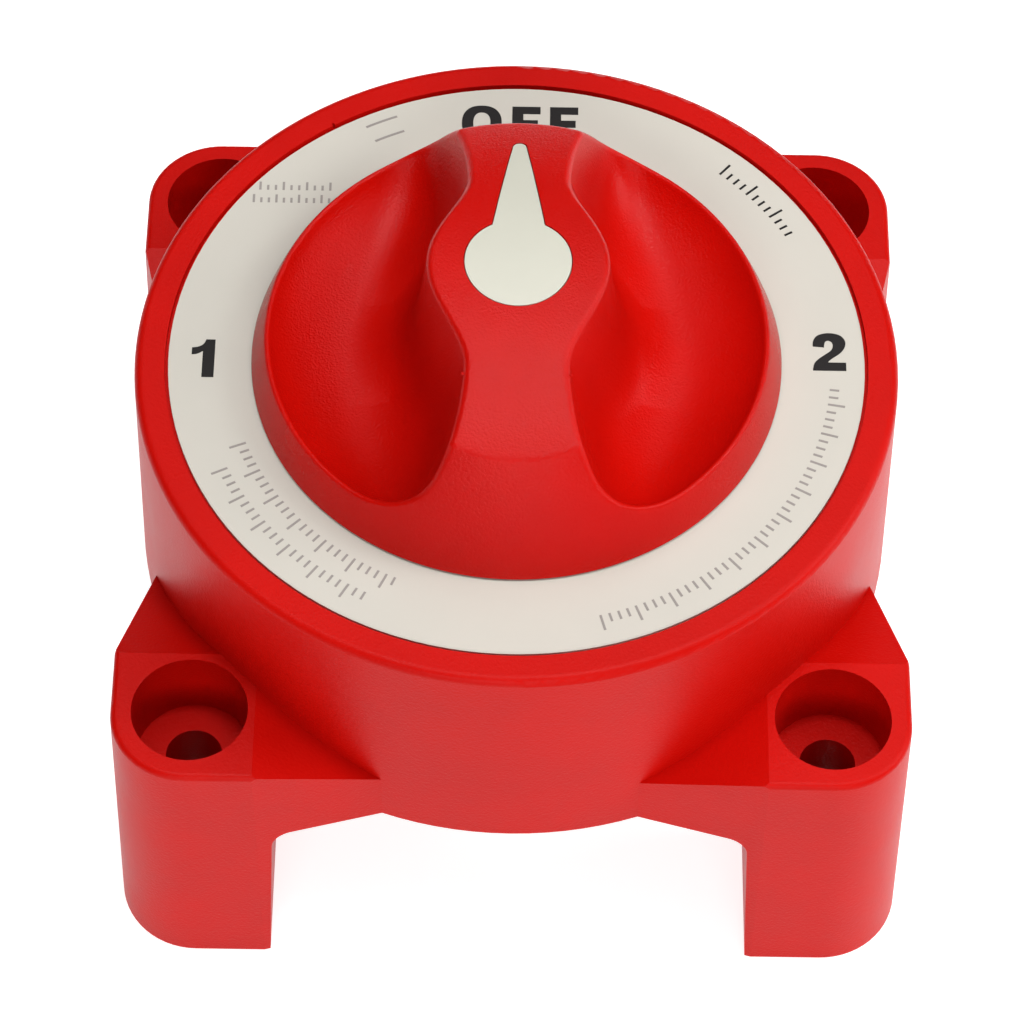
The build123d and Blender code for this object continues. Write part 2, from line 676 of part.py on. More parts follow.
# ---- build --------------------------------------------------------------------------------
def main():
    os.makedirs(PARTS, exist_ok=True)
    save("housing", housing())
    save("label_ring", label())
    save("knob", knob())
    save("pointer_insert", insert_body(0, INSERT_THICK, INSERT_SINK))
    save("knob_screw", knob_screw())
    save("knob_washer", knob_washer())
    save("rotor", rotor())
    save("shaft_seal", Pos(0, 0, SEAL_Z) * Torus(SHAFT_R - SEAL_WIRE_R, SEAL_WIRE_R))
    save("thrust_washer", tube(SHAFT_R + THRUST_GAP, HUB_R, HUB_TOP + SLIP, DECK_UNDERSIDE))
    save("detent_ring", detent_ring())
    for name, side in (("a", 0), ("b", 180)):
        save("detent_plunger_" + name, Rot(0, 0, side) * plunger())
        save("detent_spring_" + name, Rot(0, 0, side) * plunger_spring())
    save("contact_bridge", contact_bridge())
    save("contact_springs", *contact_springs())
    contacts = {
        "common_contact": common_contact(),
        "contact_1": landing_contact(180),
        "contact_2": landing_contact(0),
    }
    for name, shape in contacts.items():
        save(name, shape)
    save("contact_carrier", contact_carrier(contacts.values()))
    save("carrier_gasket", carrier_gasket())
    save("carrier_screws", *four_ways(carrier_screw()))
    washer_top = CARRIER_Z[0]
    lock_top = washer_top - WASHER_THICK
    nut_top = lock_top - LOCK_WASHER_THICK
    flat = tube(WASHER_HOLE_R, WASHER_R, lock_top, washer_top)
    save("terminal_studs", *[Pos(x, y, 0) * stud() for x, y in stud_places()])
    save("terminal_flat_washers", *[Pos(x, y, 0) * flat for x, y in stud_places()])
    save("terminal_lock_washers", *[Pos(x, y, 0) * lock_washer(lock_top) for x, y in stud_places()])
    save("terminal_nuts", *[Pos(x, y, 0) * nut(nut_top) for x, y in stud_places()])


main()
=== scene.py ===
import math

import bmesh
import bpy
import numpy as np
from mathutils import Matrix, Vector


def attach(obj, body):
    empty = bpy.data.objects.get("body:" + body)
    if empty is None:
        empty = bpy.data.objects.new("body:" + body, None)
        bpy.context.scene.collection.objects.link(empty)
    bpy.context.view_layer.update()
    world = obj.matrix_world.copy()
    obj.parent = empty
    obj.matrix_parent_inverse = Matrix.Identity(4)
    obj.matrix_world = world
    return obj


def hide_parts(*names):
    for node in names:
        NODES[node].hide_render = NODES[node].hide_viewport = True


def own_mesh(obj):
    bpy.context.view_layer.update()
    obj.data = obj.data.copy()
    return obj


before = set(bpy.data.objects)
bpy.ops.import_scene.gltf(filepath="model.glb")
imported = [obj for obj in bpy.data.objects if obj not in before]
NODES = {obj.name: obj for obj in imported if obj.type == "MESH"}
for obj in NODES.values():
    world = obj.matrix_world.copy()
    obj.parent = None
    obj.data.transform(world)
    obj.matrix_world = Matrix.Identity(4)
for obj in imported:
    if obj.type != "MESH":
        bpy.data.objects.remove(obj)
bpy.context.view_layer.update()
MM = 0.001               # shapes are written in millimetres

# ---- sizes of the knob, in mm -------------------------------------------------------------
HEIGHT = 76.2            # lowest plane of the part to the top of the grip
CROWN_R = 58.8           # the grip's top is an arc along Y
CROWN_Z = HEIGHT - CROWN_R
END_ARC = (-12.759, 44.184, 45.447)   # end faces and skirt: an arc's centre (r, z) and radius
KNOB_R = 30.6
KNOB_BASE = 57.8         # bottom edge of the skirt
PLUG_R = 26.4            # below the skirt a plug goes down inside the label's ring
PLUG_UNDERSIDE = 55.0
DISH_FLOOR = 56.7
DISH_FLAT_R = 11.0       # outside this radius the dish's section is part of an ellipse
DISH_HALF = (18.0, 7.6)  # the ellipse's half axes, along the radius and Z
DISH_END = math.sin(math.radians(77))   # share of the half axis after which it runs on straight
WAIST = 5.72             # half width of the grip's top, where it is narrowest
WAIST_DRAFT = math.radians(15.0)
FLARE_START = 12.5       # distance from the axis where the grip starts to widen
FLARE = 0.0174           # widening per square of the distance past there
HEAD_R = 10.25           # the round middle of the grip's top, about the pointer insert
HEAD_DRAFT = math.radians(6.0)
NECK_R = 4.0             # hollow corner between the round middle and the waist
FOOT_R = 12.5            # hollow corner between the grip and the dish
CORNER_R = (10.0, 6.5)   # the same corner at the rim, front and rear
CORNER_SPAN = (16.0, 27.0)   # radii between which the corner changes
CORNER_TURN = (-10.0, 10.0)  # Y between which the rim's corner goes from front to rear
CREST_R = 0.7            # rounding of the grip's and the dish's upper edges
CREASE_R = 0.15          # rounding between the grip's top and its end faces
INSERT_R = 6.0           # the pointer insert's disc
INSERT_SHOULDER = (2.93, 5.25)   # half width and Y where the pointer leaves the disc
INSERT_TIP_Y = 19.4
INSERT_TIP_R = 0.75
INSERT_GAP = 0.12
POCKET_DEPTH = 1.25
PIPS = [(-6.0, -14.4, 74.4), (6.0, -14.4, 74.4)]   # the mould's two pin marks
PIP_R = 0.2

# ---- mesh lines of the knob ---------------------------------------------------------------
SIDE_LINES = 330         # lines over one side of the grip's edge
END_LINES = 34           # lines over half of an end of the grip's edge
TOP_ROWS = 26            # points along each line on the grip's top
TOP_CROWDING = 1.6       # above 1 they lie closer towards the edge
WALL_ROWS = 120          # points from the grip's edge to the rim
WALL_TRIALS = 900        # trial points that those are chosen from
WALL_CROWDING = 1.3      # above 1 the trial points lie closer near the edge
LENGTH_SHARE = 30.0      # mm of surface that weigh as much as BEND_SHARE radians of bend
BEND_SHARE = 3.5
SMOOTHING = 9            # trial points over which the weight is averaged
SPINE_LEAN = 0.7         # each line points away from a place on the middle, at this share of
SPINE_ENDS = (-4.0, 14.0)    # the Y of the line's place on the edge, kept between these
EDGE_SEARCH = (3.0, 14.0)    # X between which the grip's edge lies
CORNER_SEARCH = (18.0, 26.0)     # Y between which the edge meets the end face
END_SEARCH = (18.0, 28.0)        # radii between which the end face's edge lies
EDGE_TRIALS = 2000
SURFACE_SEARCH = (KNOB_BASE - 2.0, HEIGHT + 1.0)   # Z between which the upper surface lies
SKIRT_EDGE = 0.5         # within this of the rim the surface goes no lower than the skirt

# ---- sizes of the label's print, in mm ----------------------------------------------------
LABEL_TOP = 57.5
PRINT_THICK = 0.03
TICK_WIDTH = 0.28
DIGIT_HEIGHT = 5.35
DIGIT_1_PLACE = (-36.2, -3.28)   # middle of the foot
DIGIT_2_PLACE = (36.15, -1.08)
DIGIT_1_MIDDLE = 0.25    # middle of the glyph, as a share of its height
DIGIT_2_MIDDLE = 0.36
OFF_HEIGHT = 5.15
OFF_Y = 32.3
LETTER_O_X = -6.96
LETTER_F_X = (-0.92, 3.62)
OVAL_MIDDLE = (0.465, 0.5)
OVAL_OUTSIDE = (0.465, 0.515)
OVAL_INSIDE = (0.20, 0.31)
OVAL_POWER = 2.35        # 2 is an ellipse, more is squarer
CORNER_CUT = 0.25        # share of a side that each rounding cuts off at a corner
GREY_ARCS = [            # radius, height, start and end angle, spacing of the ticks
    (34.1, 2.0, -158, -113.5, 1.8),
    (37.3, 2.0, -154, -117, 1.65),
    (37.26, 2.0, -74.5, -6, 1.65),
]
BLACK_ARC = (37.4, 1.9, 49, 30.5, 1.65)
ARC_LONG_EVERY = 4       # ticks from one long tick to the next
ARC_SHORT = 0.55         # height of the others, as a share of the long ones
GREY_ROWS = [(-30.7, -22.4, 24.8), (-31.4, -21.6, 22.9)]   # start X, end X and Y
ROW_HEIGHT = 1.2
ROW_SPACING = 0.9
ROW_LONG_EVERY = 3
ROW_SHORT = 0.6
BAR_RADII = (38.6, 36.2)
BAR_HEIGHT = 0.3
BAR_ANGLES = (118.5, 112.5)

# Glyph outlines, for a height of 1. A third value of 1 marks a sharp corner.
GLYPH_F = [(0, 0), (0.26, 0), (0.26, 0.39), (0.60, 0.39), (0.60, 0.60),
           (0.26, 0.60), (0.26, 0.78), (0.66, 0.78), (0.66, 1), (0, 1)]
GLYPH_1 = [(0.24, 0, 1), (0.50, 0, 1), (0.50, 1, 1), (0.30, 1, 1), (0.25, 0.87),
           (0.14, 0.80), (0, 0.78, 1), (0, 0.60, 1), (0.12, 0.61), (0.24, 0.69, 1)]
GLYPH_2 = [(0, 0, 1), (0, 0.05), (0.03, 0.20), (0.13, 0.32), (0.30, 0.45), (0.42, 0.55),
           (0.45, 0.66), (0.43, 0.76), (0.35, 0.81), (0.28, 0.78), (0.26, 0.70),
           (0.255, 0.62, 1), (0.01, 0.64, 1), (0.01, 0.78), (0.10, 0.95), (0.36, 1.02),
           (0.62, 0.96), (0.73, 0.80), (0.71, 0.62), (0.60, 0.46), (0.45, 0.35),
           (0.36, 0.27), (0.33, 0.22, 1), (0.72, 0.22, 1), (0.72, 0, 1)]

# ---- sizes of the threaded studs and of the joints' travel, in mm --------------------------
STUD_PLACES = [(-25.0, 0), (25.0, 0), (0, -25.0)]
STUD_R = 5.0
STUD_END = 4.0
STUD_CHAMFER = 0.8
STUD_COLLAR_Z = 26.9
STUD_COLLAR = [(7.6, 26.9), (7.6, 29.2)]   # radius and Z of the collar's two edges
THREAD_PITCH = 1.5
THREAD_DEPTH = 0.85
THREAD_ROWS = 8          # rows of points in one pitch
THREAD_SIDES = 48
THREAD_FLANK = 1.25      # height of the thread's wave before its crest and root are cut flat

# ---- edges sharper than this many degrees stay sharp in the shading -----------------------
KNOB_SMOOTH = 50
PIP_SMOOTH = 60
STUD_SMOOTH = 30
PRINT_SMOOTH = 35

# ---- materials: grain and gloss -----------------------------------------------------------
GRAIN_HEIGHT = 0.00012   # m, depth of the moulded grain
MARK_HEIGHT = 0.00005    # m, depth of the marks on metal
FLOW_RANGE = (0.3, 0.7)  # noise values between which the mottling and the gloss change
PLASTIC_GLOSS = (-0.04, 0.05)    # change in roughness at those values
METAL_GLOSS = (-0.05, 0.1)
STAIN_RANGE = (0.35, 0.65)
STAIN = 0.82             # how dark a metal's stains are

# ---- studio: places and sizes in m --------------------------------------------------------
FLOOR_HALF = 3.0
FLOOR_GAP = 0.0002       # below the feet
LIGHT_AIM = (0, 0, 0.05)
LIGHTS = [               # name, place, size, power in W
    ("right", (0.9, 0.0, 0.65), (0.4, 0.6), 5.2),
    ("top", (0.12, 0.10, 0.9), (1.1, 1.1), 6.1),
    ("highlight", (0.04, 0.02, 1.05), (0.12, 0.12), 2.5),
    ("front", (0.0, -1.1, 0.6), (0.8, 0.3), 6.4),
]
CAMERA_ELEVATION = math.radians(56.168)
CAMERA_AZIMUTH = math.radians(-0.102)
CAMERA_ROLL = math.radians(0.939)
CAMERA_DISTANCE = 0.5413
CAMERA_AIM = Vector((-0.00021, 0.01720, 0.0))


# ---- materials ----------------------------------------------------------------------------
def new_material(name):
    """A node material, its node tree and its Principled shader."""
    material = bpy.data.materials.new(name)
    material.use_nodes = True
    tree = material.node_tree
    shader = tree.nodes["Principled BSDF"]
    return material, tree, shader


def add(tree, kind, links=(), **settings):
    """Add a node. Settings named in_... are its unlinked inputs, the rest its properties."""
    node = tree.nodes.new(kind)
    for key, value in settings.items():
        if key.startswith("in_"):
            node.inputs[key[3:].replace("_", " ")].default_value = value
        else:
            setattr(node, key, value)
    for name, socket in links:
        tree.links.new(socket, node.inputs[name])
    return node


def ramp(tree, fac, places, values):
    """The colour ramp over fac between two places, whose values are colours or grey levels."""
    node = add(tree, "ShaderNodeValToRGB", [("Fac", fac)])
    for element, place, value in zip(node.color_ramp.elements, places, values):
        element.position = place
        element.color = (*value, 1) if isinstance(value, tuple) else (value, value, value, 1)
    return node.outputs["Color"]


def plastic(name, colour, roughness, grain_mm, grain, specular=0.5, mottling=0.06):
    """A moulded plastic: fine spark-eroded grain, faint flow mottling, uneven gloss."""
    material, tree, shader = new_material(name)
    place = add(tree, "ShaderNodeTexCoord").outputs["Object"]
    texture = add(tree, "ShaderNodeTexNoise", [("Vector", place)], in_Scale=1 / (grain_mm * MM),
                  in_Detail=3.0, in_Roughness=0.6)
    flow = add(tree, "ShaderNodeTexNoise", [("Vector", place)], in_Scale=60.0,
               in_Detail=4.0, in_Roughness=0.55)
    dark = tuple(c * (1 - mottling) for c in colour)
    light = tuple(min(1.0, c * (1 + mottling)) for c in colour)
    tint = ramp(tree, flow.outputs["Fac"], FLOW_RANGE, (dark, light))
    tree.links.new(tint, shader.inputs["Base Color"])
    levels = [roughness + change for change in PLASTIC_GLOSS]
    gloss = ramp(tree, flow.outputs["Fac"], FLOW_RANGE, levels)
    tree.links.new(gloss, shader.inputs["Roughness"])
    bump = add(tree, "ShaderNodeBump", [("Height", texture.outputs["Fac"])],
               in_Strength=grain, in_Distance=GRAIN_HEIGHT)
    tree.links.new(bump.outputs["Normal"], shader.inputs["Normal"])
    shader.inputs["Specular IOR Level"].default_value = specular
    return material


def metal(name, colour, roughness, scratch=0.15):
    """A plated or machined metal with fine marks and faint stains."""
    material, tree, shader = new_material(name)
    place = add(tree, "ShaderNodeTexCoord").outputs["Object"]
    marks = add(tree, "ShaderNodeTexNoise", [("Vector", place)], in_Scale=900.0,
                in_Detail=4.0, in_Roughness=0.7)
    stain = add(tree, "ShaderNodeTexNoise", [("Vector", place)], in_Scale=140.0, in_Detail=3.0)
    dark = tuple(c * STAIN for c in colour)
    tint = ramp(tree, stain.outputs["Fac"], STAIN_RANGE, (dark, colour))
    tree.links.new(tint, shader.inputs["Base Color"])
    levels = [roughness + change for change in METAL_GLOSS]
    gloss = ramp(tree, marks.outputs["Fac"], FLOW_RANGE, levels)
    tree.links.new(gloss, shader.inputs["Roughness"])
    bump = add(tree, "ShaderNodeBump", [("Height", marks.outputs["Fac"])],
               in_Strength=scratch, in_Distance=MARK_HEIGHT)
    tree.links.new(bump.outputs["Normal"], shader.inputs["Normal"])
    shader.inputs["Metallic"].default_value = 1.0
    return material


# name, colour, roughness, size of the grain in mm, strength of the grain, specular level
RED_BODY = plastic("red_housing_plastic", (0.54, 0.003, 0.001), 0.38, 0.35, 0.5, 0.10)
RED_KNOB = plastic("red_knob_plastic", (0.53, 0.003, 0.001), 0.23, 0.30, 0.8, 0.145)
CREAM_LABEL = plastic("label_film", (0.58, 0.555, 0.49), 0.45, 0.20, 0.02, mottling=0.02)
CREAM_INSERT = plastic("insert_plastic", (0.60, 0.59, 0.50), 0.42, 0.30, 0.04, mottling=0.02)
BLACK_PLASTIC = plastic("carrier_plastic", (0.022, 0.022, 0.024), 0.5, 0.4, 0.15)
ACETAL = plastic("acetal_plastic", (0.62, 0.60, 0.55), 0.4, 0.5, 0.03)
WHITE_PLASTIC = plastic("washer_plastic_white", (0.82, 0.82, 0.80), 0.4, 0.5, 0.03)
RUBBER = plastic("seal_rubber", (0.02, 0.02, 0.02), 0.75, 0.3, 0.1)
PRINT_BLACK = plastic("print_black", (0.010, 0.008, 0.008), 0.5, 0.2, 0.02, 0.25)
PRINT_GREY = plastic("print_grey", (0.30, 0.27, 0.25), 0.5, 0.2, 0.02)
# name, colour, roughness
TIN = metal("tinned_metal", (0.66, 0.65, 0.61), 0.32)
STAINLESS = metal("stainless_metal", (0.60, 0.60, 0.59), 0.28)
SPRING_STEEL = metal("spring_metal", (0.45, 0.45, 0.46), 0.3)
COPPER = metal("copper_metal", (0.70, 0.42, 0.28), 0.3)

NODE_MATERIALS = {
    "housing": RED_BODY,
    "label_ring": CREAM_LABEL,
    "knob": RED_KNOB,
    "pointer_insert": CREAM_INSERT,
    "knob_screw": STAINLESS,
    "knob_washer": STAINLESS,
    "rotor": BLACK_PLASTIC,
    "shaft_seal": RUBBER,
    "thrust_washer": WHITE_PLASTIC,
    "detent_ring": ACETAL,
    "detent_plunger_a": WHITE_PLASTIC,
    "detent_plunger_b": WHITE_PLASTIC,
    "detent_spring_a": SPRING_STEEL,
    "detent_spring_b": SPRING_STEEL,
    "contact_bridge": COPPER,
    "contact_springs": SPRING_STEEL,
    "common_contact": COPPER,
    "contact_1": COPPER,
    "contact_2": COPPER,
    "contact_carrier": BLACK_PLASTIC,
    "carrier_gasket": RUBBER,
    "carrier_screws": STAINLESS,
    "terminal_studs": TIN,
    "terminal_flat_washers": STAINLESS,
    "terminal_lock_washers": STAINLESS,
    "terminal_nuts": STAINLESS,
}
for name, material in NODE_MATERIALS.items():
    mesh = NODES[name].data
    mesh.materials.clear()
    mesh.materials.append(material)


# ---- meshes -------------------------------------------------------------------------------
def make_piece(name, vertices, faces, material, body, smooth_angle=PRINT_SMOOTH, slot=None):
    """A mesh object from millimetres, shaded smooth below an angle, riding on a body."""
    mesh = bpy.data.meshes.new(name)
    mesh.from_pydata([tuple(c * MM for c in v) for v in vertices], [], faces)
    mesh.validate()
    sheet = bmesh.new()
    sheet.from_mesh(mesh)
    bmesh.ops.recalc_face_normals(sheet, faces=sheet.faces)
    sheet.to_mesh(mesh)
    sheet.free()
    mesh.shade_smooth()
    mesh.set_sharp_from_angle(angle=math.radians(smooth_angle))
    mesh.materials.append(material)
    piece = bpy.data.objects.new(name, mesh)
    bpy.context.scene.collection.objects.link(piece)
    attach(piece, body)
    return piece


def loop_faces(rings):
    """Quads between closed rings of equal length, given as lists of vertex numbers."""
    faces = []
    for a, b in zip(rings, rings[1:]):
        for i in range(len(a)):
            j = (i + 1) % len(a)
            faces.append((a[i], a[j], b[j], b[i]))
    return faces


# ---- the knob's surface -------------------------------------------------------------------
# Each surface is a function that gives the distance outside it, negative inside the plastic.
def join_round(a, b, radius):
    """Distance to two solids joined with a hollow round corner."""
    u = np.maximum(radius - a, 0)
    v = np.maximum(radius - b, 0)
    return np.maximum(radius, np.minimum(a, b)) - np.hypot(u, v)


def join_soft(a, b, radius):
    """The same, with a corner whose curvature fades out at its ends."""
    u = np.maximum(radius - a, 0)
    v = np.maximum(radius - b, 0)
    return np.maximum(radius, np.minimum(a, b)) - np.cbrt(u**3 + v**3)


def cut_round(a, b, radius):
    """Distance to what two solids share, with a rounded edge."""
    u = np.maximum(radius + a, 0)
    v = np.maximum(radius + b, 0)
    return np.minimum(-radius, np.maximum(a, b)) + np.hypot(u, v)


def ease(value, low, high):
    """0 below low, 1 above high, smooth between."""
    t = np.clip((value - low) / (high - low), 0, 1)
    return t * t * (3 - 2 * t)


def crown_height(y):
    """Height of the grip's top."""
    return CROWN_Z + np.sqrt(CROWN_R**2 - y**2)


def end_face(r, z):
    """Distance outside the end faces and the skirt."""
    return np.hypot(r - END_ARC[0], z - END_ARC[1]) - END_ARC[2]


def grip(x, y, z):
    """Distance outside the grip's walls."""
    below = crown_height(y) - z
    flare = np.maximum(np.abs(y) - FLARE_START, 0)
    half = WAIST + FLARE * flare**2
    waist = (np.abs(x) - half) / np.hypot(1, 2 * FLARE * flare)
    waist = (waist - below * math.tan(WAIST_DRAFT)) * math.cos(WAIST_DRAFT)
    head = (np.hypot(x, y) - HEAD_R - below * math.tan(HEAD_DRAFT)) * math.cos(HEAD_DRAFT)
    return join_round(waist, head, NECK_R)


def dish(r, z):
    """Distance above the dish."""
    half_r, half_z = DISH_HALF
    t = np.clip((r - DISH_FLAT_R) / half_r, 0, DISH_END)
    drop = np.sqrt(1 - t**2)
    slope = half_z / half_r * t / drop
    run_on = np.maximum(r - DISH_FLAT_R - DISH_END * half_r, 0)
    floor = DISH_FLOOR + half_z * (1 - drop) + slope * run_on
    return (z - floor) / np.hypot(1, slope)


def knob_distance(x, y, z):
    """Distance outside the knob, apart from the insert's pocket."""
    r = np.hypot(x, y)
    front, rear = CORNER_R
    at_rim = front + (rear - front) * ease(y, *CORNER_TURN)
    corner = FOOT_R + (at_rim - FOOT_R) * ease(r, *CORNER_SPAN)
    inner = join_soft(grip(x, y, z), dish(r, z), corner)
    crown = np.hypot(y, z - CROWN_Z) - CROWN_R
    outer = cut_round(crown, end_face(r, z), CREASE_R)
    return cut_round(inner, outer, CREST_R)


def root(function, low, high, steps=36):
    """Where a function of one array changes from negative at low to positive at high."""
    low = low.copy()
    high = high.copy()
    for _ in range(steps):
        middle = (low + high) / 2
        outside = function(middle) > 0
        high = np.where(outside, middle, high)
        low = np.where(outside, low, middle)
    return (low + high) / 2


def filled(limits, shape):
    """Two arrays, each full of one of the limits."""
    return [np.full(shape, float(limit)) for limit in limits]


def knob_height(x, y):
    """Height of the knob's upper surface over a point."""
    height = root(lambda z: knob_distance(x, y, z), *filled(SURFACE_SEARCH, x.shape))
    on_skirt = np.hypot(x, y) > KNOB_R - SKIRT_EDGE
    return np.where(on_skirt, np.maximum(height, KNOB_BASE), height)


def pocket(x, y):
    """Distance outside the outline of the pocket that the pointer insert sits in."""
    half, start = INSERT_SHOULDER
    tip_y = INSERT_TIP_Y - INSERT_TIP_R
    lean = math.atan2(half - INSERT_TIP_R, tip_y - start)
    side = (np.abs(x) - half) * math.cos(lean) + (y - start) * math.sin(lean)
    taper = np.maximum(side, np.maximum(y - tip_y, -y))
    tip = np.hypot(x, y - tip_y) - INSERT_TIP_R
    disc = np.hypot(x, y) - INSERT_R
    return np.minimum(np.minimum(taper, tip), disc) - INSERT_GAP


def spread(weights, count):
    """Places in 0..1 that divide a running weight into equal shares."""
    total = np.concatenate([[0], np.cumsum(weights)])
    return np.interp(np.linspace(0, total[-1], count), total, np.linspace(0, 1, len(total)))


def top_edge():
    """The edge of the grip's top, right half, from the front end's middle to the rear's,
    and the angle on the rim that each point's mesh line runs to."""
    def outline(y):
        return root(lambda x: grip(x, y, crown_height(y)), *filled(EDGE_SEARCH, y.shape))

    def over_end(y):
        return end_face(np.hypot(outline(y), y), crown_height(y))

    corner_y = root(over_end, *filled(CORNER_SEARCH, 1))
    corner = (outline(corner_y)[0], corner_y[0])
    corner_angle = math.atan2(*corner)
    turn = np.linspace(0, corner_angle, END_LINES)
    reach = root(
        lambda r: end_face(r, crown_height(r * np.cos(turn))),
        *filled(END_SEARCH, turn.shape),
    )
    end = np.stack([reach * np.sin(turn), -reach * np.cos(turn)], 1)
    y = np.linspace(-corner[1], corner[1], EDGE_TRIALS)
    side = np.stack([outline(y), y], 1)
    share = spread(np.hypot(*np.diff(side, axis=0).T), SIDE_LINES)
    trials = np.linspace(0, 1, EDGE_TRIALS)
    side = np.stack([np.interp(share, trials, side[:, k]) for k in (0, 1)], 1)
    side_angle = math.pi - corner_angle - share * (math.pi - 2 * corner_angle)
    ring = np.concatenate([end[:-1], side, end[-2::-1] * (1, -1)])
    angle = np.concatenate([math.pi - turn[:-1], side_angle, turn[-2::-1]])
    return ring, angle


def knob_lines():
    """Surface points in rows from the insert's pocket over the grip's edge to the rim."""
    ring, angle = top_edge()
    spine = np.clip(SPINE_LEAN * ring[:, 1], *SPINE_ENDS)
    start = np.stack([np.zeros(len(ring)), spine], 1)
    share = root(
        lambda t: pocket(*(start + t[:, None] * (ring - start)).T),
        *filled((0, 1), len(ring)),
    )
    start = start + share[:, None] * (ring - start)
    fine = 1 - (1 - np.linspace(0, 1, TOP_ROWS)) ** TOP_CROWDING
    inner = start[:, None, :] + fine[None, :, None] * (ring - start)[:, None, :]
    rim = KNOB_R * np.stack([np.sin(angle), np.cos(angle)], 1)
    dense = np.linspace(0, 1, WALL_TRIALS) ** WALL_CROWDING
    outer = ring[:, None, :] + dense[None, :, None] * (rim - ring)[:, None, :]
    run = np.hypot(*np.moveaxis(np.diff(outer, axis=1), 2, 0))
    rise = np.diff(knob_height(outer[..., 0], outer[..., 1]), axis=1)
    bend = np.abs(np.diff(np.unwrap(np.arctan2(rise, run), axis=1), axis=1))
    bend = np.concatenate([bend[:, :1], bend], axis=1)
    weight = np.hypot(run, rise) / LENGTH_SHARE + bend / BEND_SHARE
    kernel = np.ones(SMOOTHING) / SMOOTHING
    trials = np.linspace(0, 1, WALL_TRIALS)
    rows = []
    for i in range(len(ring)):
        padded = np.pad(weight[i], SMOOTHING // 2, mode="edge")
        smooth = np.convolve(padded, kernel, mode="valid")
        place = np.interp(spread(smooth, WALL_ROWS), trials, dense)
        rows.append(ring[i] + place[1:, None] * (rim[i] - ring[i]))
    points = np.concatenate([inner, np.array(rows)], axis=1)
    z = knob_height(points[..., 0], points[..., 1])
    z[:, -1] = KNOB_BASE
    return np.concatenate([points, z[..., None]], axis=2)


def knob_piece():
    """The knob as one closed skin: pocket, grip, dish, lip, skirt and underside."""
    half = knob_lines()
    other = half[-2:0:-1] * (-1, 1, 1)
    lines = np.concatenate([half, other])
    count, steps = lines.shape[:2]
    well = lines[:, 0] - (0, 0, POCKET_DEPTH)
    rim = lines[:, -1]
    turn = np.arctan2(rim[:, 0], rim[:, 1])
    plug = np.stack([np.sin(turn) * PLUG_R, np.cos(turn) * PLUG_R], 1)
    plug_high = np.column_stack([plug, np.full(count, KNOB_BASE)])
    plug_low = np.column_stack([plug, np.full(count, PLUG_UNDERSIDE)])
    rings = [well] + [lines[:, k] for k in range(steps)] + [plug_high, plug_low]
    vertices = [tuple(v) for ring in rings for v in ring]
    numbers = [list(range(k * count, (k + 1) * count)) for k in range(len(rings))]
    faces = loop_faces(numbers)
    vertices += [(0, 0, float(well[:, 2].mean())), (0, 0, PLUG_UNDERSIDE)]
    for ring, centre in ((numbers[0], len(vertices) - 2), (numbers[-1], len(vertices) - 1)):
        faces += [(ring[i], ring[(i + 1) % count], centre) for i in range(count)]
    piece = make_piece("knob_moulding", vertices, faces, RED_KNOB, "turning", KNOB_SMOOTH, "red_knob")
    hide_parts("knob")


def moulding_pips(levels=5, sides=16):
    """Two small round marks that the mould's pins left on the grip's edge."""
    vertices = []
    faces = []
    for x, y, z in PIPS:
        rings = []
        for lift in np.linspace(0, math.pi / 2, levels, endpoint=False):
            out = PIP_R * math.cos(lift)
            rings.append(list(range(len(vertices), len(vertices) + sides)))
            for turn in np.linspace(0, 2 * math.pi, sides, endpoint=False):
                vertices.append((x + out * math.cos(turn), y + out * math.sin(turn),
                                 z + PIP_R * math.sin(lift)))
        faces += loop_faces(rings) + [tuple(rings[0]), tuple(rings[-1])]
    make_piece("moulding_pips", vertices, faces, RED_KNOB, "turning", PIP_SMOOTH, "red_knob")


# ---- the label's print --------------------------------------------------------------------
def round_off(points, rounds=3):
    """Round an outline's corners, apart from those marked sharp, by cutting them again."""
    for _ in range(rounds):
        fresh = []
        for i, p in enumerate(points):
            if len(p) == 3:
                fresh.append(p)
                continue
            for q in (points[i - 1], points[(i + 1) % len(points)]):
                fresh.append(tuple(
                    (1 - CORNER_CUT) * p[k] + CORNER_CUT * q[k] for k in (0, 1)
                ))
        points = fresh
    return [(p[0], p[1]) for p in points]


def oval(halves, count=72):
    """The outline of an oval a little squarer than an ellipse."""
    points = []
    for i in range(count):
        turn = 2 * math.pi * i / count
        parts = (math.cos(turn), math.sin(turn))
        points.append(tuple(
            middle + half * math.copysign(abs(part) ** (2 / OVAL_POWER), part)
            for middle, half, part in zip(OVAL_MIDDLE, halves, parts)
        ))
    return points


def prism(outlines):
    """Vertices and faces of thin plates on the label. A pair of outlines is a ring."""
    vertices = []
    faces = []
    heights = (LABEL_TOP, LABEL_TOP + PRINT_THICK)
    for outline in outlines:
        hollow = isinstance(outline, tuple)
        rings = []
        for z in heights:
            for line in outline if hollow else (outline,):
                rings.append(list(range(len(vertices), len(vertices) + len(line))))
                vertices += [(x, y, z) for x, y in line]
        if hollow:
            faces += loop_faces([rings[0], rings[1], rings[3], rings[2], rings[0]])
        else:
            faces += loop_faces(rings) + [tuple(ring) for ring in rings]
    return vertices, faces


def moved(outline, x, y, scale):
    """An outline enlarged and moved."""
    return [(x + scale * px, y + scale * py) for px, py in outline]


def arc_bar(radius, height, start, end, step=1.0):
    """The outline of a thin bar bent round the dial, between two angles in degrees."""
    count = max(2, int(abs(end - start) / step) + 1)
    angles = [math.radians(a) for a in np.linspace(start, end, count)]
    inner = radius - height / 2
    outer = radius + height / 2
    line = [(inner * math.cos(a), inner * math.sin(a)) for a in angles]
    return line + [(outer * math.cos(a), outer * math.sin(a)) for a in reversed(angles)]


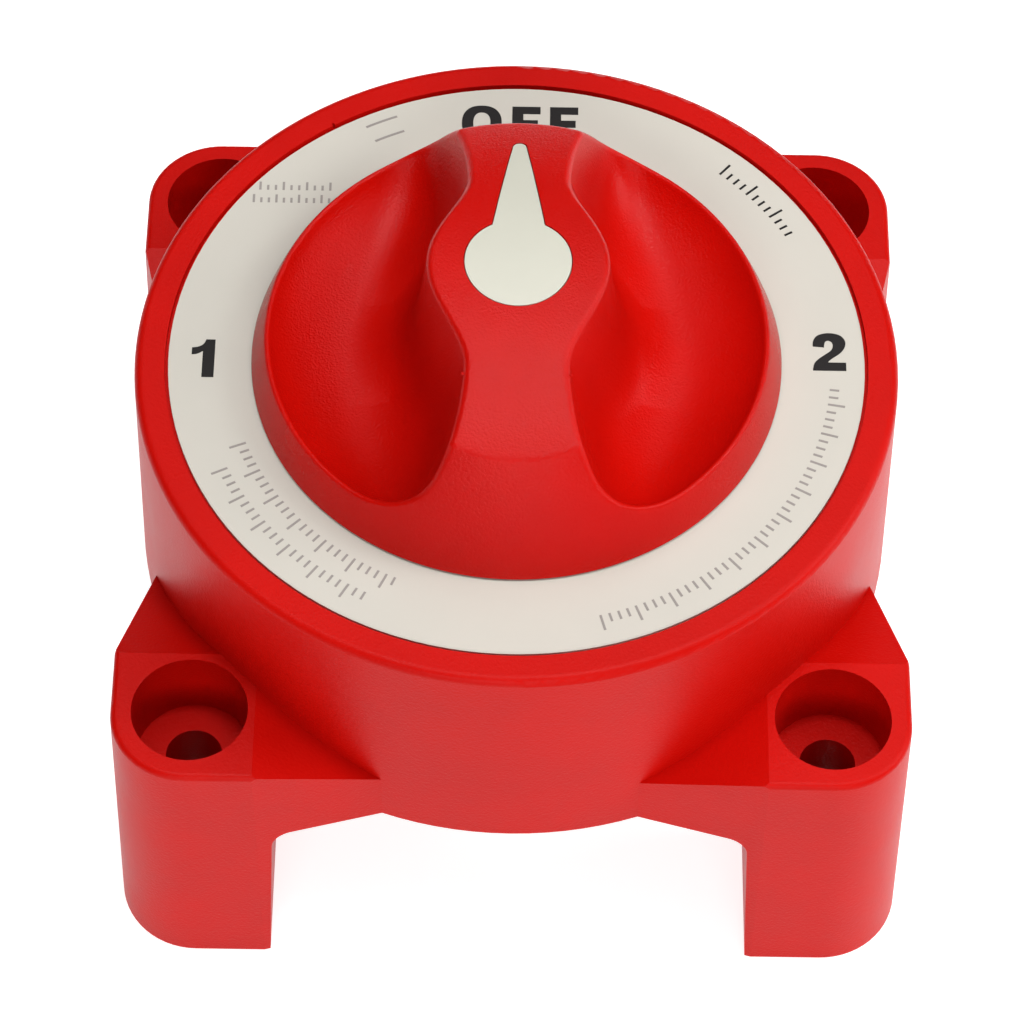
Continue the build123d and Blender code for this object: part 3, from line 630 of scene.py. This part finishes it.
def scale_ticks(radius, height, start, end, spacing):
    """Radial strokes along an arc, with a longer one every few."""
    bars = []
    count = round(abs(end - start) / spacing)
    half = math.degrees(TICK_WIDTH / 2 / radius)
    for i in range(count + 1):
        a = start + (end - start) * i / count
        tall = height if i % ARC_LONG_EVERY == 0 else height * ARC_SHORT
        bars.append(arc_bar(radius + (tall - height) / 2, tall, a - half, a + half))
    return bars


def straight_ticks(start, end, y):
    """Strokes side by side along a straight line, with a longer one every few."""
    count = round((end - start) / ROW_SPACING)
    low = y - ROW_HEIGHT / 2
    half = TICK_WIDTH / 2
    bars = []
    for i in range(count + 1):
        x = start + (end - start) * i / count
        high = low + (ROW_HEIGHT if i % ROW_LONG_EVERY == 0 else ROW_HEIGHT * ROW_SHORT)
        bars.append([(x - half, low), (x + half, low), (x + half, high), (x - half, high)])
    return bars


def digit(glyph, place, middle):
    """A figure of the dial, standing on a place by the middle of its foot."""
    x, y = place
    return moved(round_off(glyph), x - middle * DIGIT_HEIGHT, y, DIGIT_HEIGHT)


def label_print():
    """The marks on the label: OFF, 1, 2 and rows of plain ticks."""
    marks = [
        digit(GLYPH_1, DIGIT_1_PLACE, DIGIT_1_MIDDLE),
        digit(GLYPH_2, DIGIT_2_PLACE, DIGIT_2_MIDDLE),
        tuple(moved(oval(halves), LETTER_O_X, OFF_Y, OFF_HEIGHT)
              for halves in (OVAL_OUTSIDE, OVAL_INSIDE)),
    ]
    marks += [moved(GLYPH_F, x, OFF_Y, OFF_HEIGHT) for x in LETTER_F_X]
    grey = [bar for arc in GREY_ARCS for bar in scale_ticks(*arc)]
    grey += [arc_bar(radius, BAR_HEIGHT, *BAR_ANGLES) for radius in BAR_RADII]
    grey += [bar for row in GREY_ROWS for bar in straight_ticks(*row)]
    for name, outlines, material in (
        ("position_marks", marks, PRINT_BLACK),
        ("scale_marks_grey", grey, PRINT_GREY),
        ("scale_marks_black", scale_ticks(*BLACK_ARC), PRINT_BLACK),
    ):
        make_piece(name, *prism(outlines), material, "base")


# ---- studs and springs --------------------------------------------------------------------
def threaded_studs():
    """The terminal studs with real threads, in place of the plain rods."""
    vertices = []
    faces = []
    rows = round((STUD_COLLAR_Z - STUD_END) / THREAD_PITCH * THREAD_ROWS)
    levels = np.linspace(STUD_END, STUD_COLLAR_Z, rows + 1)
    turn = np.linspace(0, 2 * math.pi, THREAD_SIDES, endpoint=False)
    for x, y in STUD_PLACES:
        rings = []
        for z in levels:
            wave = ((z - STUD_END) / THREAD_PITCH - turn / (2 * math.pi)) % 1
            crest = np.clip(THREAD_FLANK - 2 * THREAD_FLANK * np.abs(wave - 0.5), 0, 1)
            radius = STUD_R - THREAD_DEPTH * (1 - crest)
            radius = np.minimum(radius, STUD_R - STUD_CHAMFER + (z - STUD_END))
            rings.append((radius, z))
        rings += [(np.full(THREAD_SIDES, r), z) for r, z in STUD_COLLAR]
        numbers = []
        for radius, z in rings:
            numbers.append(list(range(len(vertices), len(vertices) + THREAD_SIDES)))
            vertices += [(x + r * math.cos(a), y + r * math.sin(a), z)
                         for r, a in zip(radius, turn)]
        faces += loop_faces(numbers) + [tuple(numbers[0]), tuple(numbers[-1])]
    piece = make_piece("stud_threads", vertices, faces, TIN, "base", STUD_SMOOTH, "stud_tin")
    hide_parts("terminal_studs")


def pressed_spring(node):
    """A copy of the spring riding on the turning body, in place of the rigid one."""
    rigid = NODES[node]
    piece = bpy.data.objects.new(node + "_pressed", rigid.data.copy())
    piece.matrix_world = rigid.matrix_world.copy()
    bpy.context.scene.collection.objects.link(piece)
    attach(piece, "turning")
    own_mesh(piece)
    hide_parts(node)


knob_piece()
moulding_pips()
label_print()
threaded_studs()
pressed_spring("contact_springs")
pressed_spring("detent_spring_a")
pressed_spring("detent_spring_b")


# ---- studio -------------------------------------------------------------------------------
def area_light(name, place, size, power):
    """A soft white light that faces the object."""
    light = bpy.data.lights.new(name, "AREA")
    light.shape = "RECTANGLE"
    light.size, light.size_y = size
    light.energy = power
    lamp = bpy.data.objects.new(name, light)
    lamp.location = place
    lamp.rotation_mode = "QUATERNION"
    lamp.rotation_quaternion = (Vector(LIGHT_AIM) - Vector(place)).to_track_quat("-Z", "Y")
    bpy.context.scene.collection.objects.link(lamp)


def floor():
    """A plain white floor just under the feet, bright enough to fill the background."""
    mesh = bpy.data.meshes.new("floor")
    corners = [(-1, -1), (1, -1), (1, 1), (-1, 1)]
    mesh.from_pydata([(x * FLOOR_HALF, y * FLOOR_HALF, 0) for x, y in corners], [], [(0, 1, 2, 3)])
    plane = bpy.data.objects.new("floor", mesh)
    plane.location.z = -FLOOR_GAP
    bpy.context.scene.collection.objects.link(plane)
    material, _, shader = new_material("floor_white")
    shader.inputs["Base Color"].default_value = (0.60, 0.60, 0.60, 1)
    shader.inputs["Roughness"].default_value = 0.8
    shader.inputs["Emission Color"].default_value = (1, 1, 1, 1)
    shader.inputs["Emission Strength"].default_value = 0.80
    mesh.materials.append(material)


def studio():
    """The lights, a faint white surrounding and a plain view transform."""
    world = bpy.data.worlds.new("studio")
    bpy.context.scene.world = world
    world.use_nodes = True
    background = world.node_tree.nodes["Background"]
    background.inputs["Color"].default_value = (1, 1, 1, 1)
    background.inputs["Strength"].default_value = 0.03
    for light in LIGHTS:
        area_light(*light)
    scene = bpy.context.scene
    scene.view_settings.view_transform = "Standard"
    scene.view_settings.look = "None"


def camera():
    """The photograph's view: a long lens, high in front, with a slight roll."""
    back = Vector((
        math.sin(CAMERA_AZIMUTH) * math.cos(CAMERA_ELEVATION),
        -math.cos(CAMERA_AZIMUTH) * math.cos(CAMERA_ELEVATION),
        math.sin(CAMERA_ELEVATION),
    ))
    right = (-back).cross(Vector((0, 0, 1))).normalized()
    up = right.cross(-back)
    turned_right = right * math.cos(CAMERA_ROLL) + up * math.sin(CAMERA_ROLL)
    turned_up = up * math.cos(CAMERA_ROLL) - right * math.sin(CAMERA_ROLL)
    data = bpy.data.cameras.new("camera")
    data.lens = 147.28
    data.sensor_width = 36.0
    data.clip_start = 0.01
    lens = bpy.data.objects.new("camera", data)
    turn = Matrix((turned_right, turned_up, back)).transposed().to_4x4()
    lens.matrix_world = Matrix.Translation(CAMERA_AIM + back * CAMERA_DISTANCE) @ turn
    bpy.context.scene.collection.objects.link(lens)
    bpy.context.scene.camera = lens


floor()
studio()
camera()
